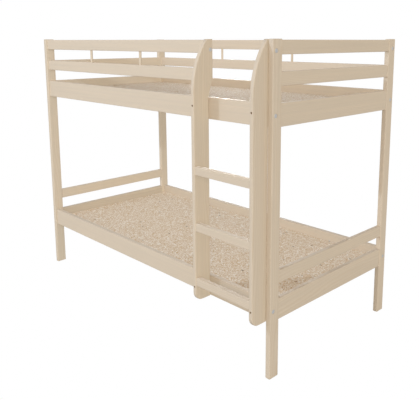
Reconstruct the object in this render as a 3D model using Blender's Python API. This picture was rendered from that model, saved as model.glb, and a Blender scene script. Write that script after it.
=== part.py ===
"""Bunk bed with a fixed ladder, in solid pine with chipboard bases.

Two end frames (flat posts with mortised rails) are tied by bolted side rails and
guard rails.  The ladder stands in front of the side rails at the right end, and the
gap between its stiles is the way in to the upper tier.

Frame: metres, +Z up, X along the length, the ladder on the -Y side, the origin on
the floor under the middle of the bounding box.
"""
import math

import bmesh
import bpy
from mathutils import Matrix, Vector

# ---------------------------------------------------------------- overall sizes
LENGTH = 2.060            # over the outer faces of the posts
WIDTH = 1.008             # over the front and back edges of the posts
HEIGHT = 1.578            # top of the posts

# ---------------------------------------------------------------- board sections
POST_T, POST_W = 0.027, 0.060          # along X, along Y
RAIL_T = 0.027                         # side rails and side guards
RAIL_H = 0.105                         # wide rails
GUARD_H = 0.063                        # guards
END_T = 0.024                          # end rails
RAIL_SET = 0.010                       # side rails behind the outer edges of the posts
END_SET = 0.003                        # end rails behind the outer faces of the posts
EDGE_R = 0.003                         # rounding of all long edges

# ---------------------------------------------------------------- levels
Z_LOW_RAIL = 0.284                     # underside of the lower rails
LOW_GUARD_GAP = 0.0745                 # lower rail to the guard over it
TOP_GUARD_DROP = 0.004                 # top guard below the top of the posts
TOP_GUARD_GAP = 0.073                  # mid guard to top guard
MID_GUARD_GAP = 0.075                  # upper rail to mid guard

# ---------------------------------------------------------------- bases and ledgers
BASE_DROP = 0.056                      # top of a base below the top of its side rails
BASE_T = 0.016
BASE_PLAY = 0.002                      # play round a base on every side
LEDGER_T = 0.020
LEDGER_UP = 0.0027                     # underside of a ledger above that of its side rail

# ---------------------------------------------------------------- ladder
STILE_T = 0.021
STILE_PROUD = 0.087                    # front edge of a stile in front of the posts
POST_GAP = 0.006                       # right stile to the front right post
LADDER_CLEAR = 0.363                   # between the stiles
STILE_TOP_W = 0.0358                   # flat top of a stile, behind the curve of its front
STILE_CURVE_H = 0.247                  # height of that curve
STILE_TOE_R = 0.042                    # rounded toe
STILE_TOE_DROP = 0.003                 # foot of a stile below the lower side rail
STILE_TOP_DROP = 0.001                 # top of a stile below the posts
SHOULDER_RISE = 0.088                  # height over which a stile widens behind
RUNG_COUNT = 3
RUNG_H, RUNG_D = 0.042, 0.027
RUNG_SET = 0.003                       # front of a rung behind the front of the stiles
RUNG_FIRST = 0.0785                    # first rung above the underside of the lower side rail
RUNG_NEXT = 0.0203                     # a further step would be this far up the upper side rail
RUNG_TENON = 0.012

# ---------------------------------------------------------------- spindles in the side guards
SPINDLE_D = 0.015
SPINDLE_LET_IN = 0.015
FRONT_SPINDLES = (0.338, 0.655)        # parts of the clear length of their guards
BACK_SPINDLES = (0.344, 0.663)

# ---------------------------------------------------------------- joints and fasteners
HOUSING = 0.005                        # side rails let into the posts and the left stile
TENON_L, TENON_T, TENON_IN = 0.022, 0.010, 0.010   # length, thickness, shoulder at each edge
BOLT_IN = 0.0220                       # bolts behind the outer edges of the posts
TOP_BOLT_UP = 0.0165                   # top bolts above the underside of the top guard
BOLT_D, BOLT_GRIP = 0.006, 0.048       # shank, length of shank inside a rail
BOLT_PAST_NUT = 0.001                  # tip of the entry bolt past its nut
BORE_PAST_TIP = 0.002                  # a bore runs on past the tip of its bolt
BOLT_HEAD_D, BOLT_HEAD_H = 0.020, 0.0026
BOLT_SUNK = 0.0003                     # head below the face of the wood
SOCKET_D, SOCKET_DEPTH = 0.0070, 0.0016
NUT_D, NUT_L, NUT_BACK = 0.010, 0.016, 0.038       # barrel nut: back from the end of the rail
STILE_SCREW_UP = 0.0715                # stile screws above the underside of a side rail
STILE_SCREW_D, STILE_SCREW_HEAD_D = 0.005, 0.0085
STILE_SCREW_SUNK = 0.040               # open hole in front of the head
STILE_SCREW_SHORT = 0.007              # tip short of the inner face of the rail
SCREW_HEAD_H = 0.003
RING_D = 0.014                         # ring between the right stile and its post
PEG_AT, PEG_UP = 0.338, 0.0055         # base retaining screws: from the posts, above the base
PEG_D, PEG_HEAD_D, PEG_HEAD_H, PEG_BITE = 0.004, 0.0075, 0.0035, 0.014

# ---------------------------------------------------------------- clearances
GAP = 0.0003                           # between touching pieces
BORE = 0.0004                          # radial, round pins in bores
THROUGH = 0.002                        # cutters run past an open face by this

# ---------------------------------------------------------------- facets round turned pieces
SIDES = 12                             # bolts, screws and their bores
NUT_SIDES = 10
SPINDLE_SIDES = 16

# ---------------------------------------------------------------- derived
XL, XR = -LENGTH / 2, LENGTH / 2                  # outer faces of the posts
XLI, XRI = XL + POST_T, XR - POST_T               # inner faces of the posts
YF = -(WIDTH - STILE_PROUD) / 2                   # front edges of the posts
YB = YF + WIDTH                                   # back edges of the posts
STILE_Y0 = YF - STILE_PROUD
RAIL_YF = YF + RAIL_SET                           # outer face of the front rails
RAIL_YB = YB - RAIL_SET
IN_YF, IN_YB = RAIL_YF + RAIL_T, RAIL_YB - RAIL_T  # inner faces of the side rails
Z_LOW_GUARD = Z_LOW_RAIL + RAIL_H + LOW_GUARD_GAP  # undersides of the guards and rails
Z_TOP_GUARD = HEIGHT - TOP_GUARD_DROP - GUARD_H
Z_MID_GUARD = Z_TOP_GUARD - TOP_GUARD_GAP - GUARD_H
Z_UP_RAIL = Z_MID_GUARD - MID_GUARD_GAP - RAIL_H
LEDGER_H = RAIL_H - BASE_DROP - BASE_T - GAP - LEDGER_UP
STILE_Z0 = Z_LOW_RAIL - STILE_TOE_DROP
STILE_Z1 = HEIGHT - STILE_TOP_DROP
RIGHT_STILE_X1 = XRI - POST_GAP
RIGHT_STILE_X0 = RIGHT_STILE_X1 - STILE_T
LEFT_STILE_X1 = RIGHT_STILE_X0 - LADDER_CLEAR
LEFT_STILE_X0 = LEFT_STILE_X1 - STILE_T
STILE_CURVE_D = STILE_PROUD + RAIL_SET + RAIL_T - STILE_TOP_W
STILE_CURVE_R = (STILE_CURVE_H ** 2 + STILE_CURVE_D ** 2) / (2 * STILE_CURVE_D)
BOLT_YF, BOLT_YB = YF + BOLT_IN, YB - BOLT_IN
STILE_BOLT_Y = RAIL_YF + RAIL_T / 2
Z_TOP_BOLT = Z_TOP_GUARD + TOP_BOLT_UP
Z_UP_BOLT = Z_UP_RAIL + RAIL_H / 2
Z_LOW_BOLT = Z_LOW_RAIL + RAIL_H / 2

TIERS = {"upper": Z_UP_RAIL, "lower": Z_LOW_RAIL}
Z_FIRST_RUNG = Z_LOW_RAIL + RUNG_FIRST
RUNG_PITCH = (Z_UP_RAIL + RUNG_NEXT - Z_FIRST_RUNG) / RUNG_COUNT
RUNG_ZS = [Z_FIRST_RUNG + RUNG_PITCH * i for i in range(RUNG_COUNT)]


# ================================================================ materials
def material(name, colour, roughness, metallic=0.0):
    mat = bpy.data.materials.new(name)
    mat.use_nodes = True
    shader = mat.node_tree.nodes["Principled BSDF"]
    shader.inputs["Base Color"].default_value = (*colour, 1.0)
    shader.inputs["Roughness"].default_value = roughness
    shader.inputs["Metallic"].default_value = metallic
    return mat


# ================================================================ meshes
def to_axis(axis, along, a, b):
    """A point from its distance along the axis and its two section coordinates."""
    return {"X": (along, a, b), "Y": (a, along, b), "Z": (a, b, along)}[axis]


def rounded_rectangle(half_a, half_b, radius, segments=2):
    """Corner points, counter-clockwise, of a rectangle with rounded corners."""
    points = []
    for k, (sa, sb) in enumerate(((1, 1), (-1, 1), (-1, -1), (1, -1))):
        for i in range(segments + 1):
            angle = math.pi / 2 * (k + i / segments)
            points.append((sa * (half_a - radius) + radius * math.cos(angle),
                           sb * (half_b - radius) + radius * math.sin(angle)))
    return points


def finish_bmesh(bm, name):
    bmesh.ops.recalc_face_normals(bm, faces=bm.faces)
    mesh = bpy.data.meshes.new(name)
    bm.to_mesh(mesh)
    bm.free()
    return mesh


def loft(name, axis, rings):
    """A closed body through sections with the same number of points.

    rings is a list of (position along the axis, list of section points)."""
    bm = bmesh.new()
    rows = [[bm.verts.new(to_axis(axis, along, a, b)) for a, b in section]
            for along, section in rings]
    for lower, upper in zip(rows, rows[1:]):
        count = len(lower)
        for i in range(count):
            j = (i + 1) % count
            bm.faces.new((lower[i], lower[j], upper[j], upper[i]))
    bm.faces.new(rows[0])
    bm.faces.new(rows[-1])
    return finish_bmesh(bm, name)


def board_mesh(name, axis, length, a, b, soft_ends=False, tenon=None):
    """A board centred on the origin: length along the axis, section a by b.

    soft_ends rounds the ends too; tenon is (length, a, b) of a tenon at each end."""
    section = rounded_rectangle(a / 2, b / 2, EDGE_R)
    half = length / 2
    if tenon:
        reach, ta, tb = tenon
        peg = rounded_rectangle(ta / 2, tb / 2, EDGE_R / 2)
        ends = [(half + reach, peg), (half, peg), (half, section)]
    elif soft_ends:
        ends = []
        for i in range(3):
            turn = math.pi / 4 * i
            inset = EDGE_R * (1 - math.sin(turn))
            ends.append((half - EDGE_R * (1 - math.cos(turn)),
                         rounded_rectangle(a / 2 - inset, b / 2 - inset, EDGE_R)))
    else:
        ends = [(half, section)]
    rings = [(-along, points) for along, points in ends] + list(reversed(ends))
    return loft(name, axis, rings)


def turned_mesh(name, axis, profile, segments, centres=((0, 0, 0),), facing=1):
    """Turned bodies, one round each centre.

    profile is a list of (distance along the axis, radius) from one end to the other;
    a facing of -1 turns the bodies end for end."""
    bm = bmesh.new()
    for centre in centres:
        rows = []
        for along, radius in profile:
            row = []
            for i in range(segments):
                angle = 2 * math.pi * (i + 0.5) / segments
                point = to_axis(axis, facing * along, radius * math.cos(angle),
                                radius * math.sin(angle))
                row.append(bm.verts.new(Vector(point) + Vector(centre)))
            rows.append(row)
        for lower, upper in zip(rows, rows[1:]):
            for i in range(segments):
                j = (i + 1) % segments
                bm.faces.new((lower[i], lower[j], upper[j], upper[i])).smooth = True
        bm.faces.new(rows[0])
        bm.faces.new(rows[-1])
    bmesh.ops.recalc_face_normals(bm, faces=bm.faces)
    for edge in bm.edges:
        if edge.calc_face_angle(0) > math.radians(40):
            edge.smooth = False
    return finish_bmesh(bm, name)


def boxes_mesh(name, boxes):
    """Plain boxes, each given by its low and high corners."""
    bm = bmesh.new()
    for low, high in boxes:
        low, high = Vector(low), Vector(high)
        size = high - low
        place = Matrix.Translation((low + high) / 2) @ Matrix.Diagonal((*size, 1))
        bmesh.ops.create_cube(bm, size=1, matrix=place)
    return finish_bmesh(bm, name)


# ================================================================ objects
def add(name, mesh, mat, location=(0, 0, 0), cutters=(), turn=0.0):
    """A named piece, turned about Z, with the cutters taken out of it."""
    obj = bpy.data.objects.new(name, mesh)
    if mat.name not in mesh.materials:
        mesh.materials.append(mat)
    bpy.context.scene.collection.objects.link(obj)
    obj.location = location
    obj.rotation_euler.z = turn
    for cutter in cutters:
        cut = obj.modifiers.new(cutter.name, "BOOLEAN")
        cut.operation = "DIFFERENCE"
        cut.solver = "EXACT"
        cut.object = cutter
    return obj


def add_cutter(name, meshes):
    """A hidden object that holds the separate bodies of the given meshes."""
    bm = bmesh.new()
    for mesh in meshes:
        bm.from_mesh(mesh)
        bpy.data.meshes.remove(mesh)
    obj = bpy.data.objects.new(name, finish_bmesh(bm, name))
    bpy.context.scene.collection.objects.link(obj)
    obj.hide_render = True
    obj.display_type = "WIRE"
    return obj


def combined_mesh(name, base, steps):
    """The base mesh with other meshes joined to it or taken out of it.

    steps is a list of (operation, mesh)."""
    piece = bpy.data.objects.new(name, base)
    helpers = []
    bpy.context.scene.collection.objects.link(piece)
    for operation, mesh in steps:
        helper = bpy.data.objects.new("helper", mesh)
        bpy.context.scene.collection.objects.link(helper)
        helpers.append(helper)
        step = piece.modifiers.new(operation, "BOOLEAN")
        step.operation = operation
        step.solver = "EXACT"
        step.object = helper
    for step in [modifier.name for modifier in piece.modifiers]:
        with bpy.context.temp_override(object=piece, active_object=piece):
            bpy.ops.object.modifier_apply(modifier=step)
    mesh = piece.data
    mesh.name = name
    for helper in helpers:
        helper_mesh = helper.data
        bpy.data.objects.remove(helper)
        bpy.data.meshes.remove(helper_mesh)
    bpy.data.objects.remove(piece)
    return mesh


# ================================================================ where the fasteners are
def end_bolts(side):
    """Centres (y, z) of the bolts through the two posts of an end; the front right top
    bolt is left out, because it holds the ladder and not a guard."""
    found = [(y, z) for y in (BOLT_YF, BOLT_YB) for z in (Z_TOP_BOLT, Z_UP_BOLT, Z_LOW_BOLT)]
    if side > 0:
        found.remove((BOLT_YF, Z_TOP_BOLT))
    return found


def entry_bolt_length():
    """From the outer face of the post to just past the nut in the middle of the stile."""
    return POST_T + POST_GAP + STILE_T / 2 + NUT_D / 2 + BOLT_PAST_NUT


def stile_screw_centres():
    xs = ((LEFT_STILE_X0 + LEFT_STILE_X1) / 2, (RIGHT_STILE_X0 + RIGHT_STILE_X1) / 2)
    return [(x, z + STILE_SCREW_UP) for z in TIERS.values() for x in xs]


def retaining_screw_centres():
    z = Z_LOW_RAIL + RAIL_H - BASE_DROP + PEG_UP
    return [(x, z) for x in (XLI + PEG_AT, XRI - PEG_AT)]


def spindle_centres():
    """Centres (x, y) of the spindles, by face."""
    front_clear, back_clear = LEFT_STILE_X0 - XLI, XRI - XLI
    return {"front": [(XLI + part * front_clear, RAIL_YF + RAIL_T / 2) for part in FRONT_SPINDLES],
            "back": [(XLI + part * back_clear, RAIL_YB - RAIL_T / 2) for part in BACK_SPINDLES]}


# ================================================================ cutters
def bolt_bore_cutter():
    """Counterbored holes through the posts that run on into the rails and the stile."""
    head_r = BOLT_HEAD_D / 2 + BORE
    shank_r = BOLT_D / 2 + BORE
    seat = BOLT_HEAD_H + BOLT_SUNK + GAP

    def bores(cover, x, y_zs, facing):
        profile = [(-THROUGH, head_r), (seat, head_r), (seat, shank_r), (cover, shank_r)]
        return turned_mesh("bores", "X", profile, SIDES, [(x, y, z) for y, z in y_zs], facing)

    meshes = [bores(POST_T + BOLT_GRIP + BORE_PAST_TIP, side * LENGTH / 2, end_bolts(side), -side)
              for side in (-1, 1)]
    meshes.append(bores(entry_bolt_length() + GAP, XR, [(BOLT_YF, Z_TOP_BOLT)], -1))
    meshes.append(bores(STILE_T + BOLT_GRIP + BORE_PAST_TIP, LEFT_STILE_X1,
                        [(STILE_BOLT_Y, Z_TOP_BOLT)], -1))
    return add_cutter("cut_bolt_bores", meshes)


def nut_bore_cutter():
    """Bores for the barrel nuts, from the undersides of the rails and, for the entry bolt,
    from the back of the right stile."""
    radius = NUT_D / 2 + BORE
    centres = [(side * (XRI - NUT_BACK), y, z) for side in (-1, 1) for y, z in end_bolts(side)]
    centres.append((LEFT_STILE_X0 - NUT_BACK, STILE_BOLT_Y, Z_TOP_BOLT))
    meshes = []
    for centre in centres:
        under = max(low for low in (Z_TOP_GUARD, Z_UP_RAIL, Z_LOW_RAIL) if low < centre[2])
        profile = [(under - THROUGH - centre[2], radius), (NUT_L / 2 + GAP, radius)]
        meshes.append(turned_mesh("bores", "Z", profile, NUT_SIDES, [centre]))
    profile = [(-NUT_L / 2 - GAP, radius), (IN_YF + THROUGH - BOLT_YF, radius)]
    centre = (RIGHT_STILE_X0 + STILE_T / 2, BOLT_YF, Z_TOP_BOLT)
    meshes.append(turned_mesh("bores", "Y", profile, NUT_SIDES, [centre]))
    return add_cutter("cut_nut_bores", meshes)


def spindle_bore_cutter():
    low = Z_MID_GUARD + GUARD_H - SPINDLE_LET_IN - GAP
    high = Z_TOP_GUARD + SPINDLE_LET_IN + GAP
    centres = [(x, y, 0) for face in spindle_centres().values() for x, y in face]
    radius = SPINDLE_D / 2 + BORE
    mesh = turned_mesh("bores", "Z", [(low, radius), (high, radius)], SPINDLE_SIDES, centres)
    return add_cutter("cut_spindle_bores", [mesh])


def screw_bore_cutter():
    """Bores for the stile screws, deep in front of their heads, and for the screws that
    keep the lower base down."""
    head_r = STILE_SCREW_HEAD_D / 2 + BORE
    shank_r = STILE_SCREW_D / 2 + BORE
    seat = STILE_SCREW_SUNK + SCREW_HEAD_H + GAP
    tip = STILE_PROUD + RAIL_SET + RAIL_T - STILE_SCREW_SHORT + GAP
    profile = [(-THROUGH, head_r), (seat, head_r), (seat, shank_r), (tip, shank_r)]
    centres = [(x, STILE_Y0, z) for x, z in stile_screw_centres()]
    meshes = [turned_mesh("bores", "Y", profile, SIDES, centres)]
    profile = [(-THROUGH, PEG_D / 2 + BORE), (PEG_BITE + GAP, PEG_D / 2 + BORE)]
    for y, facing in ((IN_YF, -1), (IN_YB, 1)):
        centres = [(x, y, z) for x, z in retaining_screw_centres()]
        meshes.append(turned_mesh("bores", "Y", profile, SIDES, centres, facing))
    return add_cutter("cut_screw_bores", meshes)


def housing_cutter():
    """Shallow pockets for the ends of the side rails and guards."""
    meshes = []
    for level, (z, height) in side_rail_levels().items():
        section = rounded_rectangle(RAIL_T / 2 + GAP, height / 2 + GAP, EDGE_R)
        for y in (RAIL_YF + RAIL_T / 2, RAIL_YB - RAIL_T / 2):
            x_right = LEFT_STILE_X0 if y < 0 and "guard" in level else XRI
            for x, facing in ((XLI, -1), (x_right, 1)):
                rings = [(x - facing * THROUGH, section), (x + facing * (HOUSING + GAP), section)]
                rings = [(along, [(a + y, b + z + height / 2) for a, b in points])
                         for along, points in rings]
                meshes.append(loft("housing", "X", rings))
    return add_cutter("cut_housings", meshes)


def mortise_cutter():
    """Pockets in the posts for the end rails and in the stiles for the rungs."""
    boxes = []
    for x0 in (XL + END_SET, XR - END_SET - END_T):
        xm = x0 + END_T / 2
        for z, height in end_rail_levels().values():
            low = z + TENON_IN - GAP
            high = z + height - TENON_IN + GAP
            for y0, y1 in ((YF + POST_W - TENON_L - GAP, YF + POST_W + THROUGH),
                           (YB - POST_W - THROUGH, YB - POST_W + TENON_L + GAP)):
                boxes.append(((xm - TENON_T / 2 - GAP, y0, low),
                              (xm + TENON_T / 2 + GAP, y1, high)))
    y0 = STILE_Y0 + RUNG_SET + RUNG_D / 2 - TENON_T / 2 - GAP
    for z in RUNG_ZS:
        low, high = z + TENON_IN - GAP, z + RUNG_H - TENON_IN + GAP
        for x0, x1 in ((LEFT_STILE_X1 - RUNG_TENON - GAP, LEFT_STILE_X1 + THROUGH),
                       (RIGHT_STILE_X0 - THROUGH, RIGHT_STILE_X0 + RUNG_TENON + GAP)):
            boxes.append(((x0, y0, low), (x1, y0 + TENON_T + 2 * GAP, high)))
    return add_cutter("cut_mortises", [boxes_mesh("mortises", boxes)])


# ================================================================ pieces
def end_rail_levels():
    return {"top_guard": (Z_TOP_GUARD, GUARD_H), "mid_guard": (Z_MID_GUARD, GUARD_H),
            "upper_rail": (Z_UP_RAIL, RAIL_H), "lower_guard": (Z_LOW_GUARD, GUARD_H),
            "lower_rail": (Z_LOW_RAIL, RAIL_H)}


def side_rail_levels():
    return {"top_guard": (Z_TOP_GUARD, GUARD_H), "mid_guard": (Z_MID_GUARD, GUARD_H),
            "upper_side_rail": (Z_UP_RAIL, RAIL_H), "lower_side_rail": (Z_LOW_RAIL, RAIL_H)}


def build_posts(mat, cutters):
    mesh = board_mesh("post", "Z", HEIGHT, POST_T, POST_W, soft_ends=True)
    for side, x in (("left", XL + POST_T / 2), ("right", XR - POST_T / 2)):
        for face, y in (("front", YF + POST_W / 2), ("back", YB - POST_W / 2)):
            add(f"post_{face}_{side}", mesh, mat, (x, y, HEIGHT / 2), cutters)


def build_end_rails(mat):
    length = WIDTH - 2 * POST_W - 2 * GAP
    y = (YF + YB) / 2
    for height in sorted({height for _, height in end_rail_levels().values()}):
        tenon = (TENON_L - GAP, TENON_T, height - 2 * TENON_IN)
        mesh = board_mesh(f"end_rail_{round(height * 1000)}", "Y", length, END_T, height, tenon=tenon)
        for side, x in (("left", XL + END_SET + END_T / 2), ("right", XR - END_SET - END_T / 2)):
            for level, (z, level_height) in end_rail_levels().items():
                if level_height == height:
                    add(f"{side}_end_{level}", mesh, mat, (x, y, z + height / 2))


def build_side_rails(mat, cutters):
    full = XRI - XLI + 2 * HOUSING
    short = LEFT_STILE_X0 - XLI + 2 * HOUSING
    for level, (z, height) in side_rail_levels().items():
        for face, y in (("front", RAIL_YF + RAIL_T / 2), ("back", RAIL_YB - RAIL_T / 2)):
            stops_at_ladder = face == "front" and "guard" in level
            length = short if stops_at_ladder else full
            x = XLI - HOUSING + length / 2
            mesh = board_mesh(f"{face}_{level}", "X", length, RAIL_T, height)
            add(f"{face}_{level}", mesh, mat, (x, y, z + height / 2), cutters)


def build_spindles(mat):
    low = Z_MID_GUARD + GUARD_H - SPINDLE_LET_IN
    high = Z_TOP_GUARD + SPINDLE_LET_IN
    half = (high - low) / 2
    profile = [(-half, SPINDLE_D / 2), (half, SPINDLE_D / 2)]
    mesh = turned_mesh("spindle", "Z", profile, SPINDLE_SIDES)
    for face, centres in spindle_centres().items():
        for i, (x, y) in enumerate(centres):
            add(f"{face}_spindle_{i + 1}", mesh, mat, (x, y, (low + high) / 2))


def stile_outline():
    """The side view of a stile, as (y, z) points from the toe round to the back."""
    back = RAIL_YF - GAP
    wide_back = IN_YF
    rail_top = Z_UP_RAIL + RAIL_H
    points = [(back, STILE_Z0)]
    for i in range(7):                                            # toe
        angle = math.pi / 2 * i / 6
        points.append((STILE_Y0 + STILE_TOE_R * (1 - math.sin(angle)),
                       STILE_Z0 + STILE_TOE_R * (1 - math.cos(angle))))
    sweep = math.asin(STILE_CURVE_H / STILE_CURVE_R)
    for i in range(11):                                           # long curve at the top
        angle = sweep * i / 10
        points.append((STILE_Y0 + STILE_CURVE_R * (1 - math.cos(angle)),
                       STILE_Z1 - STILE_CURVE_H + STILE_CURVE_R * math.sin(angle)))
    points.append((wide_back, STILE_Z1))
    points.append((wide_back, rail_top + SHOULDER_RISE))
    for i in range(1, 4):                                         # hollow shoulder
        t = 1 - i / 4
        points.append((back + (wide_back - back) * t ** 1.2, rail_top + GAP + SHOULDER_RISE * t))
    points.append((back, rail_top + GAP))
    return points


def build_stiles(mat, cutters):
    bm = bmesh.new()
    rows = [[bm.verts.new((x, y, z)) for y, z in stile_outline()]
            for x in (-STILE_T / 2, STILE_T / 2)]
    count = len(rows[0])
    for i in range(count):
        j = (i + 1) % count
        bm.faces.new((rows[0][i], rows[0][j], rows[1][j], rows[1][i]))
    bm.faces.new(rows[0])
    bm.faces.new(rows[1])
    bmesh.ops.recalc_face_normals(bm, faces=bm.faces)
    rims = [edge for edge in bm.edges if abs(edge.verts[0].co.x - edge.verts[1].co.x) < 1e-6]
    bmesh.ops.bevel(bm, geom=rims, offset=EDGE_R, segments=2, profile=0.5, affect="EDGES",
                    clamp_overlap=True)
    mesh = finish_bmesh(bm, "ladder_stile")
    for side, x in (("left", LEFT_STILE_X0), ("right", RIGHT_STILE_X0)):
        add(f"ladder_stile_{side}", mesh, mat, (x + STILE_T / 2, 0, 0), cutters)


def build_rungs(mat):
    tenon = (RUNG_TENON, TENON_T, RUNG_H - 2 * TENON_IN)
    mesh = board_mesh("ladder_rung", "X", LADDER_CLEAR - 2 * GAP, RUNG_D, RUNG_H, tenon=tenon)
    x = (LEFT_STILE_X1 + RIGHT_STILE_X0) / 2
    y = STILE_Y0 + RUNG_SET + RUNG_D / 2
    for i, z in enumerate(RUNG_ZS):
        add(f"ladder_rung_{i + 1}", mesh, mat, (x, y, z + RUNG_H / 2))


def build_bases(board_mat, ledger_mat):
    wide = IN_YB - IN_YF - 2 * BASE_PLAY
    inner = LENGTH - 2 * (END_SET + END_T)
    long = inner - 2 * BASE_PLAY
    base = boxes_mesh("base_board", [((-long / 2, -wide / 2, -BASE_T / 2),
                                      (long / 2, wide / 2, BASE_T / 2))])
    ledger = board_mesh("ledger", "X", XRI - XLI - 2 * BASE_PLAY, LEDGER_T - GAP, LEDGER_H)
    y_mid = (YF + YB) / 2
    for tier, z in TIERS.items():
        top = z + RAIL_H - BASE_DROP
        add(f"{tier}_base_board", base, board_mat, (0, y_mid, top - BASE_T / 2))
        z_ledger = top - BASE_T - GAP - LEDGER_H / 2
        for face, y in (("front", IN_YF + LEDGER_T / 2 + GAP / 2),
                        ("back", IN_YB - LEDGER_T / 2 - GAP / 2)):
            add(f"{tier}_{face}_ledger", ledger, ledger_mat, (0, y, z_ledger))


def bolt_mesh(name, length, nut_at, nut_axis):
    """A flat-headed bolt along +X with a hexagon socket, screwed into its barrel nut.

    The outer face of the wood is at 0; the nut sits at nut_at."""
    rim = 0.0006
    under = BOLT_SUNK + BOLT_HEAD_H
    profile = [(BOLT_SUNK, BOLT_HEAD_D / 2 - rim), (BOLT_SUNK + rim, BOLT_HEAD_D / 2),
               (under, BOLT_HEAD_D / 2), (under, BOLT_D / 2), (length, BOLT_D / 2)]
    bolt = turned_mesh(name, "X", profile, SIDES)
    nut = turned_mesh("nut", nut_axis, [(-NUT_L / 2, NUT_D / 2), (NUT_L / 2, NUT_D / 2)],
                      NUT_SIDES, [(nut_at, 0, 0)])
    socket = turned_mesh("socket", "X", [(-THROUGH, SOCKET_D / 2),
                                         (BOLT_SUNK + SOCKET_DEPTH, SOCKET_D / 2)], 6)
    return combined_mesh(name, bolt, [("UNION", nut), ("DIFFERENCE", socket)])


def build_bolts(mat):
    """Every bolt is one piece with its barrel nut."""
    mesh = bolt_mesh("post_bolt", POST_T + BOLT_GRIP, POST_T + NUT_BACK, "Z")
    for side, name, turn in ((-1, "left", 0.0), (1, "right", math.pi)):
        for y, z in end_bolts(side):
            face = "front" if y < 0 else "back"
            level = {Z_TOP_BOLT: "top", Z_UP_BOLT: "upper", Z_LOW_BOLT: "lower"}[z]
            add(f"bolt_{face}_{name}_{level}", mesh, mat, (side * LENGTH / 2, y, z), turn=turn)
    mesh = bolt_mesh("entry_post_bolt", entry_bolt_length(), POST_T + POST_GAP + STILE_T / 2, "Y")
    add("bolt_front_right_top", mesh, mat, (XR, BOLT_YF, Z_TOP_BOLT), turn=math.pi)
    mesh = bolt_mesh("stile_bolt", STILE_T + BOLT_GRIP, STILE_T + NUT_BACK, "Z")
    add("bolt_stile_top", mesh, mat, (LEFT_STILE_X1, STILE_BOLT_Y, Z_TOP_BOLT), turn=math.pi)


def screw_mesh(name, head_r, head_h, shank_r, length):
    """A screw along +Y: flat head from 0, shank to a short point at the given length."""
    profile = [(0, head_r), (head_h, head_r), (head_h, shank_r),
               (length - 2 * shank_r, shank_r), (length, shank_r * 0.3)]
    return turned_mesh(name, "Y", profile, SIDES)


def build_screws(mat):
    length = STILE_PROUD + RAIL_SET + RAIL_T - STILE_SCREW_SHORT - STILE_SCREW_SUNK
    mesh = screw_mesh("stile_screw", STILE_SCREW_HEAD_D / 2, SCREW_HEAD_H, STILE_SCREW_D / 2,
                      length)
    names = [f"stile_screw_{side}_{tier}" for tier in TIERS for side in ("left", "right")]
    for name, (x, z) in zip(names, stile_screw_centres()):
        add(name, mesh, mat, (x, STILE_Y0 + STILE_SCREW_SUNK, z))
    mesh = screw_mesh("base_screw", PEG_HEAD_D / 2, PEG_HEAD_H, PEG_D / 2,
                      PEG_HEAD_H + GAP + PEG_BITE)
    for face, y, turn in (("front", IN_YF + PEG_HEAD_H + GAP, math.pi),
                          ("back", IN_YB - PEG_HEAD_H - GAP, 0.0)):
        for side, (x, z) in zip(("left", "right"), retaining_screw_centres()):
            add(f"base_screw_{face}_{side}", mesh, mat, (x, y, z), turn=turn)


def build_spacer_ring(mat, cutter):
    """The ring on the entry post bolt that keeps the right stile off the post."""
    half = POST_GAP / 2 - GAP
    profile = [(-half, RING_D / 2), (half, RING_D / 2)]
    mesh = turned_mesh("stile_spacer_ring", "X", profile, SIDES)
    add("stile_spacer_ring", mesh, mat, (XRI - POST_GAP / 2, BOLT_YF, Z_TOP_BOLT), (cutter,))


def main():
    for obj in list(bpy.data.objects):
        bpy.data.objects.remove(obj, do_unlink=True)

    pine = material("pine", (0.72, 0.60, 0.43), 0.55)
    pine_ladder = material("pine_ladder", (0.70, 0.58, 0.41), 0.55)
    pine_strip = material("pine_strip", (0.68, 0.56, 0.40), 0.6)
    chipboard = material("chipboard", (0.50, 0.37, 0.22), 0.75)
    steel = material("steel", (0.62, 0.62, 0.61), 0.35, 1.0)

    bolt_bores = bolt_bore_cutter()
    nut_bores = nut_bore_cutter()
    spindle_bores = spindle_bore_cutter()
    screw_bores = screw_bore_cutter()
    housings = housing_cutter()
    mortises = mortise_cutter()

    build_posts(pine, (mortises, housings, bolt_bores))
    build_end_rails(pine)
    build_side_rails(pine, (bolt_bores, nut_bores, spindle_bores, screw_bores))
    build_spindles(pine)
    build_stiles(pine_ladder, (mortises, housings, bolt_bores, nut_bores, screw_bores))
    build_rungs(pine_ladder)
    build_bases(chipboard, pine_strip)
    build_bolts(steel)
    build_screws(steel)
    build_spacer_ring(steel, bolt_bores)


main()
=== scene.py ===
"""The looks of the pine bunk bed: planed, thinly whitened pine, raw chipboard and zinc plated steel.

Metres, +Z up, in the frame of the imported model.  The ladder is on the -Y side."""
import math
import random

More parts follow.
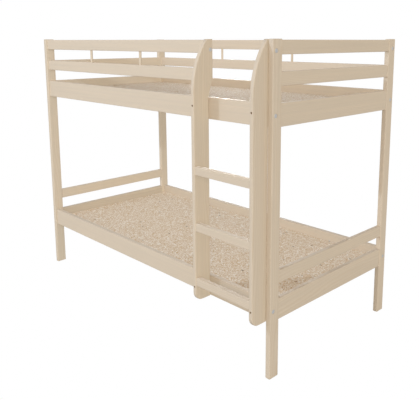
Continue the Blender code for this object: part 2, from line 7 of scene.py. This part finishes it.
import bmesh
import bpy
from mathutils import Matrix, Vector


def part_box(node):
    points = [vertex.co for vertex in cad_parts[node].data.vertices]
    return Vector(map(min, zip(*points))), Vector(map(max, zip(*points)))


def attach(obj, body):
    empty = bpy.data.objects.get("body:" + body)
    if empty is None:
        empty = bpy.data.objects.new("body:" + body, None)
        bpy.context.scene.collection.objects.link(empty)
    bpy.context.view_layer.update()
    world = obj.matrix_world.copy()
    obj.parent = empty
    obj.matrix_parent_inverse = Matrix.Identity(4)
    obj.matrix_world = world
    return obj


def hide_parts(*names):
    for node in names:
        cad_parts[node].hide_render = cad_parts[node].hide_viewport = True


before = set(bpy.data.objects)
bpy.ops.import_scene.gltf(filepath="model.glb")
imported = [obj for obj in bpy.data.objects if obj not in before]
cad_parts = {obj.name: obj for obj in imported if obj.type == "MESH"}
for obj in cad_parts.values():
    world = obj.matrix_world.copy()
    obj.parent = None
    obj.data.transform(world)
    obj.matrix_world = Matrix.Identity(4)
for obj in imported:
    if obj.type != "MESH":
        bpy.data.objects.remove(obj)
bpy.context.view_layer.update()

# ---------------------------------------------------------------- camera
EYE = (2.6115, -2.2680, 1.5698)
HEADING = math.radians(45.0)           # towards -X and +Y
DOWN = math.radians(10.03)
SENSOR = 36.0
LENS = 48.19
SHIFT = (-0.0618, -0.1437)

# ---------------------------------------------------------------- lamps
# the key lamp keeps its strength with distance, as a large lamp far off does
KEY_AT, KEY_POWER, KEY_RADIUS = (-0.36, -1.85, 1.92), 12.1, 0.02
KEY_COLOUR = (0.67, 0.81, 1.0)
# suns: where the light comes from, strength, colour, spread, and whether it casts shadows
SUNS = {"fill_front": ((1.10, -0.52, 0.36), 1.39, (0.91, 1.0, 0.98), math.radians(4), False),
        "fill_back": ((-1.0, 1.0, 0.1), 0.90, (1.0, 0.97, 0.93), math.radians(4), False),
        "side": ((0.95, -1.0, 0.60), 0.25, (1.0, 0.80, 0.60), math.radians(8), True)}
# the studio's soft light: axis, side of it, colour and strength
SKY = (("X", -1, (0.89, 1.02, 1.17)), ("X", 1, (0.56, 0.46, 0.43)), ("Y", -1, (1.40, 1.33, 1.27)),
       ("Y", 1, (0.69, 0.61, 0.49)), ("Z", 1, (0.33, 0.33, 0.37)))

# ---------------------------------------------------------------- pine
PINE_LIGHT = (0.616, 0.517, 0.402)     # early wood
PINE_DARK = (0.556, 0.444, 0.318)      # late wood
PAINTED_BORE_SHADE = (0.280, 0.185, 0.105)      # painted shade inside the open screw holes, on the cut wood
BORE_MARGIN = 0.0008                   # how far the painted shade reaches past a screw's head
RING_WIDTH = 0.0055
LATE_SHARPNESS = 2.2                   # the higher, the narrower the late wood of each ring
PITH_1, PITH_2 = (0.03, 0.08), (0.04, 0.09)    # least and most from the origin, both ways across
PITH_WANDER = 0.075                    # how far the middle of the rings strays along the grain
GRAIN_SHIFT = 8                        # a board's noises are moved by up to this much, each way
GRAIN_AXIS = {"post": "Z", "end": "Y", "side": "X", "stile": "Z", "rung": "X", "ledger": "X"}
# noises along the grain and across it, in waves per metre
WANDER_NOISE = (0.9, 5, 5)
STREAK_NOISE = (1.6, 75, 75)
FIBRE_NOISE = (14, 700, 700)
# the shade of single boards against the usual one, as painted shade and painted light: four are darker, and
# two are lighter; for the two chipboards it also sets their own colour
TONES_WITH_PAINTED_SHADE = {"left_end_lower_rail": 0.87, "left_end_upper_rail": 0.95, "back_lower_side_rail": 0.95,
         "back_upper_side_rail": 1.04, "upper_base_board": 0.95, "lower_base_board": 1.11}
TONE_SWING, TONE_STEP = 0.006, 2.4     # and each pine board differs a little from the next
SPINDLE_TONE = 1.02
SPINDLE_SEED = 200                     # the spindles' seeds start here, past those of the boards
EDGE_ANGLE = math.radians(50)          # sharper edges than this stay sharp

# ---------------------------------------------------------------- chipboard
FLAKE_WAVER = 0.008                    # how far the flakes' outlines stray
# patches per metre, flakes per metre across their length, and the turn of the first patch
BIG_FLAKES, SMALL_FLAKES = (60.0, 280.0, 0.0), (110.0, 480.0, 1.0)
FLAKE_LENGTH = 0.3                     # flakes per metre along their length, as a share of that
BIG_SHARE, SMALL_SHARE = 0.6, 0.4      # of the big and the small flakes in the colour
FLAKE_COLOURS = ((0.15, (0.460, 0.300, 0.155)), (0.38, (0.590, 0.445, 0.285)),
                 (0.60, (0.640, 0.530, 0.400)), (0.80, (0.820, 0.790, 0.740)))
# specks of bark: colour, cells per metre with one speck each, their size, and how much they cover
BARK, BARK_CELLS, BARK_SIZE, BARK_STRENGTH = (0.16, 0.09, 0.05), (9, 14, 9), 0.075, 0.8

# ---------------------------------------------------------------- steel: dark and light blotches
ZINC = (0.58, 0.59, 0.61), (0.68, 0.69, 0.70)
# the screws deep in the stile holes: steel coloured near black as painted shade of the holes
PAINTED_HOLE_SHADE_STEEL = (0.045, 0.028, 0.018), (0.080, 0.052, 0.035)
BLOTCH_NOISE = 260.0

# ---------------------------------------------------------------- turned pieces
SEGMENTS = 48                          # round a turned piece
ARC_STEPS = 5                          # along a quarter of a circle in a profile
CREASE = math.radians(35)
# bolts: rounding of the rim, height of the head, radius of the shank
BOLT_RIM, BOLT_HEAD_H, BOLT_SHANK_R = 0.0012, 0.0026, 0.003
SOCKET_R, SOCKET_DEPTH = 0.0029, 0.0018                # hexagon socket: middle to flat
SOCKET_EDGE, SOCKET_EDGE_DEPTH = 0.0004, 0.0003        # bevel round the socket
SOCKET_FLOOR, CROSS_FLOOR = 0.2, 0.3   # inner outline of a recess's floor, as a share of the outer
# base screws: height of the head, height of its dome, radii of its flat top and of the shank
SCREW_HEAD_H, SCREW_DOME, SCREW_FLAT_R, SCREW_SHANK_R = 0.0035, 0.0022, 0.0026, 0.002
CROSS_REACH, CROSS_ARM = 0.0021, 0.0005                # cross recess: middle to tip, half an arm's width
CROSS_DEPTH, CROSS_FLOOR_DEPTH = 0.0012, 0.0016        # at its walls and at its middle
CROSS_FLARE = 0.0001                   # the recess is this much wider at its mouth
SPINDLE_PLAY = 0.0001                  # a spindle is this much thinner than its solid, in its radius
SPINDLE_CHAMFER = 0.001

# ---------------------------------------------------------------- stage
FLOOR_HALF, FLOOR_Z, BOUNCE_Z = 60.0, -0.0005, -0.0010
BOUNCE_COLOUR = (0.55, 0.53, 0.50, 1)
DOME_RADIUS = 100.0


# ================================================================ node helpers
class Graph:
    """Short ways to add nodes to a material."""

    def __init__(self, tree):
        self.tree = tree

    def add(self, kind, inputs=None, **settings):
        node = self.tree.nodes.new(kind)
        for key, value in settings.items():
            setattr(node, key, value)
        for key, value in (inputs or {}).items():
            if isinstance(value, bpy.types.NodeSocket):
                self.tree.links.new(value, node.inputs[key])
            else:
                node.inputs[key].default_value = value
        return node

    def scaled(self, vector, scale, shift=(0, 0, 0)):
        inputs = {"Vector": vector, "Scale": scale, "Location": shift}
        return self.add("ShaderNodeMapping", inputs).outputs[0]

    def math(self, operation, a, b=0.0):
        return self.add("ShaderNodeMath", {0: a, 1: b}, operation=operation).outputs[0]

    def vector_math(self, operation, a, b):
        return self.add("ShaderNodeVectorMath", {0: a, 1: b}, operation=operation).outputs[0]

    def noise(self, vector, scale, detail=2.0, roughness=0.5):
        return self.add("ShaderNodeTexNoise", {"Vector": vector, "Scale": scale, "Detail": detail,
                                               "Roughness": roughness})

    def spread(self, value, low, high, to_low=0.0, to_high=1.0):
        return self.add("ShaderNodeMapRange", {"Value": value, "From Min": low, "From Max": high,
                                               "To Min": to_low, "To Max": to_high}).outputs[0]

    def mixed(self, factor, a, b, blend="MIX"):
        node = self.add("ShaderNodeMix", data_type="RGBA", blend_type=blend)
        for index, value in ((0, factor), (6, a), (7, b)):
            if isinstance(value, bpy.types.NodeSocket):
                self.tree.links.new(value, node.inputs[index])
            elif index == 0:
                node.inputs[0].default_value = value
            else:
                node.inputs[index].default_value = (*value, 1.0)
        return node.outputs[2]

    def ramp(self, factor, stops):
        node = self.add("ShaderNodeValToRGB", {"Fac": factor})
        elements = node.color_ramp.elements
        while len(elements) < len(stops):
            elements.new(0.5)
        for element, (place, colour) in zip(elements, stops):
            element.position = place
            element.color = (*colour, 1.0)
        return node.outputs[0]


def new_material(name):
    """A new material, with a graph to build it in and its shader."""
    material = bpy.data.materials.new(name)
    material.use_nodes = True
    return material, Graph(material.node_tree), material.node_tree.nodes["Principled BSDF"]


# ================================================================ materials
def pine(name, axis, seed, tone_and_shade=1.0, bores=(), bore_shade_radius=0.0):
    """Planed pine, with growth rings about a line along the grain that passes near the origin.

    Most boards lie far from that line, so the rings cross them as nearly straight grain.
    The bores run along Y and are given by their X and Z; inside them the wood gets painted shade."""
    material, graph, shader = new_material(name)
    rng = random.Random(seed)
    place = graph.add("ShaderNodeTexCoord").outputs["Object"]
    xyz = graph.add("ShaderNodeSeparateXYZ", {0: place}).outputs
    order = {"X": (0, 1, 2), "Y": (1, 0, 2), "Z": (2, 0, 1)}[axis]
    along = graph.add("ShaderNodeCombineXYZ", {i: xyz[k] for i, k in enumerate(order)}).outputs[0]
    shift = [rng.uniform(-GRAIN_SHIFT, GRAIN_SHIFT) for _ in range(3)]
    along = graph.scaled(along, (1, 1, 1), shift)

    # the middle of the rings wanders slowly, so that they make long flames on the faces
    wander = graph.noise(graph.scaled(along, WANDER_NOISE), 1.0, 2.0).outputs["Color"]
    wander = graph.vector_math("SUBTRACT", wander, (0.5, 0.5, 0.5))
    wander = graph.vector_math("MULTIPLY", wander, (0.0, PITH_WANDER, PITH_WANDER))
    pith = (0.0, rng.uniform(*PITH_1) - shift[1], rng.uniform(*PITH_2) - shift[2])
    log = graph.vector_math("ADD", graph.vector_math("ADD", along, pith), wander)
    rings = graph.add("ShaderNodeTexWave", {"Vector": log, "Scale": math.pi / 10 / RING_WIDTH,
                                            "Distortion": 1.2, "Detail": 2.0, "Detail Scale": 0.6},
                      wave_type="RINGS", rings_direction="X", wave_profile="SIN").outputs["Fac"]
    late = graph.math("POWER", rings, LATE_SHARPNESS)
    streaks = graph.noise(graph.scaled(along, STREAK_NOISE), 1.0, 3.0).outputs["Fac"]
    fibres = graph.noise(graph.scaled(along, FIBRE_NOISE), 1.0, 2.0).outputs["Fac"]

    light = [channel * tone_and_shade for channel in PINE_LIGHT]
    dark = [channel * tone_and_shade for channel in PINE_DARK]
    depth = graph.math("MULTIPLY", late, graph.spread(streaks, 0.35, 0.7, 0.25, 0.75))
    colour = graph.mixed(depth, light, dark)
    band = graph.spread(streaks, 0.3, 0.7, 0.96, 1.035)
    fine = graph.spread(fibres, 0.3, 0.7, 0.985, 1.015)
    level = graph.math("MULTIPLY", band, fine)
    grey = graph.add("ShaderNodeCombineXYZ", {0: level, 1: level, 2: level}).outputs[0]
    colour = graph.mixed(1.0, colour, grey, "MULTIPLY")
    # painted shade: inside the screw bores the colour is made dark for the shade in the holes
    if bores:
        spot = graph.add("ShaderNodeNewGeometry").outputs["Position"]
        spot = graph.vector_math("MULTIPLY", spot, (1, 0, 1))
    for x, z in bores:
        distance = graph.add("ShaderNodeVectorMath", {0: spot, 1: (x, 0, z)}, operation="DISTANCE")
        in_bore_shade = graph.math("LESS_THAN", distance.outputs["Value"], bore_shade_radius)
        colour = graph.mixed(in_bore_shade, colour, PAINTED_BORE_SHADE)
    graph.tree.links.new(colour, shader.inputs["Base Color"])
    graph.tree.links.new(graph.spread(late, 0, 1, 0.62, 0.50), shader.inputs["Roughness"])
    height = graph.math("ADD", graph.math("MULTIPLY", late, 0.5), fibres)
    bump = graph.add("ShaderNodeBump", {"Height": height, "Strength": 0.25, "Distance": 0.0004})
    graph.tree.links.new(bump.outputs[0], shader.inputs["Normal"])
    shader.inputs["Specular IOR Level"].default_value = 0.35
    return material


def chipboard(name, tone_and_shade):
    """Raw chipboard: flakes that lie every way, in patches, with a few dark specks of bark."""
    material, graph, shader = new_material(name)
    place = graph.add("ShaderNodeTexCoord").outputs["Object"]
    waver = graph.noise(place, 60.0, 2.0).outputs["Color"]
    place = graph.vector_math("ADD", place, graph.vector_math("MULTIPLY", waver, (FLAKE_WAVER,) * 3))

    def flakes(patch, across, turn):
        """A value for each flake; the flakes of one patch lie the same way."""
        cells = graph.add("ShaderNodeTexVoronoi", {"Vector": place, "Scale": patch})
        angle = graph.spread(graph.add("ShaderNodeSeparateColor", {0: cells.outputs["Color"]}).outputs[0],
                             0, 1, turn, turn + math.pi)
        laid = graph.add("ShaderNodeVectorRotate", {"Vector": place, "Angle": angle},
                         rotation_type="Z_AXIS").outputs[0]
        laid = graph.scaled(laid, (FLAKE_LENGTH * across, across, across))
        return graph.add("ShaderNodeTexVoronoi", {"Vector": laid, "Scale": 1.0})

    big = flakes(*BIG_FLAKES)
    small = flakes(*SMALL_FLAKES)
    shade = graph.add("ShaderNodeSeparateColor", {0: big.outputs["Color"]}).outputs
    fleck = graph.add("ShaderNodeSeparateColor", {0: small.outputs["Color"]}).outputs
    value = graph.math("ADD", graph.math("MULTIPLY", shade[0], BIG_SHARE),
                       graph.math("MULTIPLY", fleck[1], SMALL_SHARE))
    stops = [(at, tuple(channel * tone_and_shade for channel in flake)) for at, flake in FLAKE_COLOURS]
    colour = graph.ramp(value, stops)
    bark = graph.add("ShaderNodeTexVoronoi", {"Vector": graph.scaled(place, BARK_CELLS), "Scale": 1.0})
    speck = graph.math("LESS_THAN", bark.outputs["Distance"], BARK_SIZE)
    colour = graph.mixed(graph.math("MULTIPLY", speck, BARK_STRENGTH), colour, BARK)
    graph.tree.links.new(colour, shader.inputs["Base Color"])
    shader.inputs["Roughness"].default_value = 0.8
    shader.inputs["Specular IOR Level"].default_value = 0.25
    bump = graph.add("ShaderNodeBump", {"Height": value, "Strength": 0.5, "Distance": 0.0008})
    graph.tree.links.new(bump.outputs[0], shader.inputs["Normal"])
    return material


def plated(name, dark, light, metallic):
    """Plated steel with faint blotches."""
    material, graph, shader = new_material(name)
    place = graph.add("ShaderNodeTexCoord").outputs["Object"]
    blotch = graph.noise(place, BLOTCH_NOISE, 3.0).outputs["Fac"]
    colour = graph.mixed(graph.spread(blotch, 0.3, 0.7), dark, light)
    graph.tree.links.new(colour, shader.inputs["Base Color"])
    graph.tree.links.new(graph.spread(blotch, 0.3, 0.7, 0.32, 0.46), shader.inputs["Roughness"])
    shader.inputs["Metallic"].default_value = metallic
    return material


# ================================================================ CAD pieces that stay
def soft_edges():
    """Geometry nodes that join the facets of a CAD solid and shade its rounded edges smooth."""
    tree = bpy.data.node_groups.new("soft_edges", "GeometryNodeTree")
    tree.interface.new_socket("Geometry", in_out="INPUT", socket_type="NodeSocketGeometry")
    tree.interface.new_socket("Geometry", in_out="OUTPUT", socket_type="NodeSocketGeometry")
    graph = Graph(tree)
    source = graph.add("NodeGroupInput").outputs[0]
    joined = graph.add("GeometryNodeMergeByDistance", {"Geometry": source, "Distance": 1e-5}).outputs[0]
    smooth = graph.add("GeometryNodeSetShadeSmooth", {"Geometry": joined, "Shade Smooth": True}).outputs[0]
    angle = graph.add("GeometryNodeInputMeshEdgeAngle").outputs["Unsigned Angle"]
    sharp = graph.add("FunctionNodeCompare", {0: angle, 1: EDGE_ANGLE}, operation="GREATER_THAN").outputs[0]
    creased = graph.add("GeometryNodeSetShadeSmooth", {"Geometry": smooth, "Selection": sharp,
                                                       "Shade Smooth": False}, domain="EDGE").outputs[0]
    graph.add("NodeGroupOutput", {0: creased})
    return tree


def refine(obj, group):
    """Smooth shading on the rounded edges of a CAD piece; its mesh and its place stay as they are."""
    soften = obj.modifiers.new("soft_edges", "NODES")
    soften.node_group = group
    weigh = obj.modifiers.new("flat_faces", "WEIGHTED_NORMAL")
    weigh.keep_sharp = True


def dress(obj, material):
    """Give a CAD piece its material."""
    for slot in obj.material_slots:
        slot.material = material


def screw_bores(nodes, name):
    """Where a ladder stile is bored for its screws, and how wide the painted shade in its open holes is."""
    if not name.startswith("ladder_stile"):
        return (), 0.0
    screws = name.replace("ladder_stile", "stile_screw")
    boxes = [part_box(node) for node in sorted(nodes) if node.startswith(screws)]
    bores = [((low.x + high.x) / 2, (low.z + high.z) / 2) for low, high in boxes]
    return bores, (boxes[0][1].x - boxes[0][0].x) / 2 + BORE_MARGIN


def dress_boards(nodes, group):
    """Each board gets pine or chipboard of its own."""
    kinds = (("post_", "post"), ("_end_", "end"), ("ledger", "ledger"), ("rung", "rung"),
             ("stile_left", "stile"), ("stile_right", "stile"), ("guard", "side"), ("side_rail", "side"))
    for number, name in enumerate(sorted(nodes)):
        kind = next((kind for part, kind in kinds if part in name and "screw" not in name), None)
        if kind is None:
            continue
        # painted shade and painted light on some boards, plus a small random tone
        tone_and_shade = TONES_WITH_PAINTED_SHADE.get(name, 1.0) + TONE_SWING * math.sin(TONE_STEP * number)
        bores, radius = screw_bores(nodes, name)
        dress(nodes[name], pine(f"pine_{name}", GRAIN_AXIS[kind], number + 1, tone_and_shade, bores, radius))
        refine(nodes[name], group)
    for name in ("upper_base_board", "lower_base_board"):
        dress(nodes[name], chipboard(f"chipboard_{name}", TONES_WITH_PAINTED_SHADE[name]))


# ================================================================ turned pieces
def hexagon(angle, apothem):
    """The outline of a hexagon socket, as a distance from its middle."""
    return apothem / math.cos((angle + math.pi / 6) % (math.pi / 3) - math.pi / 6)


def cross(angle, reach, half_arm):
    """The outline of a cross recess, as a distance from its middle."""
    folded = abs((angle + math.pi / 4) % (math.pi / 2) - math.pi / 4)
    if math.tan(folded) <= half_arm / reach:
        return reach / math.cos(folded)
    return half_arm / math.sin(folded)


def turned(name, profile):
    """A closed piece turned about +X; a radius in the profile is a number or a function of the angle."""
    bm = bmesh.new()
    rows = []
    for along, radius in profile:
        row = []
        for i in range(SEGMENTS):
            angle = 2 * math.pi * i / SEGMENTS
            r = radius(angle) if callable(radius) else radius
            row.append(bm.verts.new((along, r * math.cos(angle), r * math.sin(angle))))
        rows.append(row)
    for first, second in zip(rows, rows[1:]):
        for i in range(SEGMENTS):
            j = (i + 1) % SEGMENTS
            bm.faces.new((first[i], first[j], second[j], second[i]))
    bm.faces.new(rows[0])
    bm.faces.new(rows[-1])
    bmesh.ops.recalc_face_normals(bm, faces=bm.faces)
    mesh = bpy.data.meshes.new(name)
    bm.to_mesh(mesh)
    bm.free()
    mesh.shade_smooth()
    mesh.set_sharp_from_angle(angle=CREASE)
    return mesh


def stand_in(node, profile, material, place, direction):
    """A finer turned piece in place of a CAD node, with its own +X turned to the direction."""
    name = f"{node}_fine"
    mesh = turned(name, profile)
    mesh.materials.append(material)
    obj = bpy.data.objects.new(name, mesh)
    bpy.context.scene.collection.objects.link(obj)
    obj.location = place
    obj.rotation_mode = "QUATERNION"
    obj.rotation_quaternion = Vector(direction).to_track_quat("X", "Z")
    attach(obj, "root")
    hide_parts(node)


def build_bolts(nodes, steel):
    """Flat heads with a soft rim and a hexagon socket, on their shanks."""
    for node in sorted(name for name in nodes if name.startswith("bolt_")):
        low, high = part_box(node)
        outward = -1 if "left" in node else 1
        face = high.x if outward > 0 else low.x
        length = high.x - low.x
        middle = (low + high) / 2
        head = (high.y - low.y) / 2
        profile = [(-SOCKET_DEPTH, lambda a: SOCKET_FLOOR * hexagon(a, SOCKET_R)),
                   (-SOCKET_DEPTH, lambda a: hexagon(a, SOCKET_R)),
                   (-SOCKET_EDGE_DEPTH, lambda a: hexagon(a, SOCKET_R)),
                   (0.0, lambda a: hexagon(a, SOCKET_R + SOCKET_EDGE))]
        for i in range(ARC_STEPS + 1):
            turn = math.pi / 2 * i / ARC_STEPS
            profile.append((-BOLT_RIM * (1 - math.cos(turn)), head - BOLT_RIM * (1 - math.sin(turn))))
        profile += [(-BOLT_HEAD_H, head), (-BOLT_HEAD_H, BOLT_SHANK_R), (-length, BOLT_SHANK_R)]
        stand_in(node, profile, steel, (face, middle.y, middle.z), (outward, 0, 0))


def build_base_screws(nodes, steel):
    """Pan heads with a cross recess."""
    for node in sorted(name for name in nodes if name.startswith("base_screw_")):
        low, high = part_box(node)
        middle = (low + high) / 2
        outward = 1 if "front" in node else -1
        face = high.y if outward > 0 else low.y
        length = high.y - low.y
        head = (high.z - low.z) / 2
        profile = [(-CROSS_FLOOR_DEPTH, lambda a: CROSS_FLOOR * cross(a, CROSS_REACH, CROSS_ARM)),
                   (-CROSS_DEPTH, lambda a: cross(a, CROSS_REACH, CROSS_ARM)),
                   (0.0, lambda a: cross(a, CROSS_REACH, CROSS_ARM) + CROSS_FLARE)]
        for i in range(1, ARC_STEPS + 1):
            turn = math.pi / 2 * i / ARC_STEPS
            profile.append((-SCREW_DOME * (1 - math.cos(turn)),
                            SCREW_FLAT_R + (head - SCREW_FLAT_R) * math.sin(turn)))
        profile += [(-SCREW_HEAD_H, head), (-SCREW_HEAD_H, SCREW_SHANK_R), (-length, SCREW_SHANK_R)]
        stand_in(node, profile, steel, (middle.x, face, middle.z), (0, outward, 0))


def build_spindles(nodes):
    """Round rods, let into the guards above and below."""
    for number, node in enumerate(sorted(name for name in nodes if "spindle" in name)):
        low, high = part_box(node)
        middle = (low + high) / 2
        radius, half = (high.x - low.x) / 2 - SPINDLE_PLAY, (high.z - low.z) / 2
        profile = [(-half, radius - SPINDLE_CHAMFER), (-half + SPINDLE_CHAMFER, radius),
                   (half - SPINDLE_CHAMFER, radius), (half, radius - SPINDLE_CHAMFER)]
        wood = pine(f"pine_{node}", "X", SPINDLE_SEED + number, SPINDLE_TONE)
        stand_in(node, profile, wood, middle, (0, 0, 1))


def dress_fixings(nodes, steel, hole_shade_steel, group):
    """The screws deep in the stiles and the spacer ring keep their CAD shape; the screws' steel is coloured
    near black as painted shade of their holes.
    """
    for name, obj in nodes.items():
        if name.startswith("stile_screw") or name == "stile_spacer_ring":
            dress(obj, steel if name == "stile_spacer_ring" else hole_shade_steel)
            refine(obj, group)


# ================================================================ stage
def plane(name, z, material):
    """A square of floor about the origin."""
    half = FLOOR_HALF
    mesh = bpy.data.meshes.new(name)
    mesh.from_pydata([(-half, -half, z), (half, -half, z), (half, half, z), (-half, half, z)], [],
                     [(0, 1, 2, 3)])
    mesh.materials.append(material)
    obj = bpy.data.objects.new(name, mesh)
    bpy.context.scene.collection.objects.link(obj)
    return obj


def shining(name):
    """An even white that shines by itself."""
    material, _, shader = new_material(name)
    shader.inputs["Base Color"].default_value = (0, 0, 0, 1)
    shader.inputs["Specular IOR Level"].default_value = 0.0
    shader.inputs["Emission Color"].default_value = (1, 1, 1, 1)
    shader.inputs["Emission Strength"].default_value = 1.0
    return material


def only_seen(obj):
    """The camera sees the object, but it neither lights nor shades anything."""
    obj.visible_diffuse = obj.visible_glossy = obj.visible_transmission = False
    obj.visible_volume_scatter = obj.visible_shadow = False


def build_floor():
    """A white floor that runs into the backdrop, over a pale one that throws light back up."""
    only_seen(plane("floor", FLOOR_Z, shining("floor_white")))
    bounce, _, shader = new_material("floor_bounce")
    shader.inputs["Base Color"].default_value = BOUNCE_COLOUR
    shader.inputs["Roughness"].default_value = 1.0
    under = plane("floor_bounce", BOUNCE_Z, bounce)
    under.visible_camera = False


def build_backdrop():
    """A white dome round everything, for the camera only."""
    bm = bmesh.new()
    bmesh.ops.create_icosphere(bm, subdivisions=3, radius=DOME_RADIUS)
    mesh = bpy.data.meshes.new("backdrop")
    bm.to_mesh(mesh)
    bm.free()
    mesh.materials.append(shining("backdrop_white"))
    dome = bpy.data.objects.new("backdrop", mesh)
    bpy.context.scene.collection.objects.link(dome)
    only_seen(dome)


def build_sky():
    """Soft light that is stronger from some sides than from others."""
    world = bpy.data.worlds.new("studio")
    world.use_nodes = True
    graph = Graph(world.node_tree)
    towards = graph.add("ShaderNodeTexCoord").outputs["Generated"]
    axes = graph.add("ShaderNodeSeparateXYZ", {0: towards}).outputs
    total = (0, 0, 0)
    for axis, side, colour in SKY:
        part = graph.math("MAXIMUM", graph.math("MULTIPLY", axes["XYZ".index(axis)], side), 0.0)
        part = graph.math("MULTIPLY", part, part)
        shine = graph.add("ShaderNodeVectorMath", {0: colour, "Scale": part}, operation="SCALE").outputs[0]
        total = graph.vector_math("ADD", shine, total)
    graph.tree.links.new(total, world.node_tree.nodes["Background"].inputs["Color"])
    bpy.context.scene.world = world


def build_lights():
    """The key lamp, and the suns that fill."""
    key = bpy.data.lights.new("key", "POINT")
    key.energy, key.color, key.shadow_soft_size = KEY_POWER, KEY_COLOUR, KEY_RADIUS
    key.use_nodes = True
    graph = Graph(key.node_tree)
    falloff = graph.add("ShaderNodeLightFalloff", {"Strength": 1.0}).outputs["Constant"]
    graph.tree.links.new(falloff, key.node_tree.nodes["Emission"].inputs["Strength"])
    lamp = bpy.data.objects.new("key", key)
    lamp.location = KEY_AT
    bpy.context.scene.collection.objects.link(lamp)
    for name, (source, strength, colour, spread, shadows) in SUNS.items():
        data = bpy.data.lights.new(name, "SUN")
        data.energy, data.color, data.angle, data.use_shadow = strength, colour, spread, shadows
        sun = bpy.data.objects.new(name, data)
        sun.rotation_mode = "QUATERNION"
        sun.rotation_quaternion = Vector(source).to_track_quat("Z", "Y")
        bpy.context.scene.collection.objects.link(sun)


def build_camera():
    """The view from beyond the front right corner; the shift frames the bed."""
    data = bpy.data.cameras.new("camera")
    data.sensor_width, data.lens = SENSOR, LENS
    data.shift_x, data.shift_y = SHIFT
    data.clip_start, data.clip_end = 0.05, 200.0
    camera = bpy.data.objects.new("camera", data)
    camera.location = EYE
    camera.rotation_euler = (math.pi / 2 - DOWN, 0, HEADING)
    bpy.context.scene.collection.objects.link(camera)
    bpy.context.scene.camera = camera


def main():
    """Dress the frame, add the finer pieces, and set the stage, the lamps and the camera."""
    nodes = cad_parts
    bpy.context.scene.view_settings.view_transform = "Standard"
    group = soft_edges()
    dress_boards(nodes, group)
    steel = plated("zinc_plated_steel", *ZINC, metallic=0.5)
    # painted shade: the screws in the stiles' deep holes are coloured near black
    hole_shade_steel = plated("steel_painted_hole_shade", *PAINTED_HOLE_SHADE_STEEL, metallic=0.3)
    build_bolts(nodes, steel)
    build_base_screws(nodes, steel)
    build_spindles(nodes)
    dress_fixings(nodes, steel, hole_shade_steel, group)
    build_floor()
    build_backdrop()
    build_sky()
    build_lights()
    build_camera()


main()
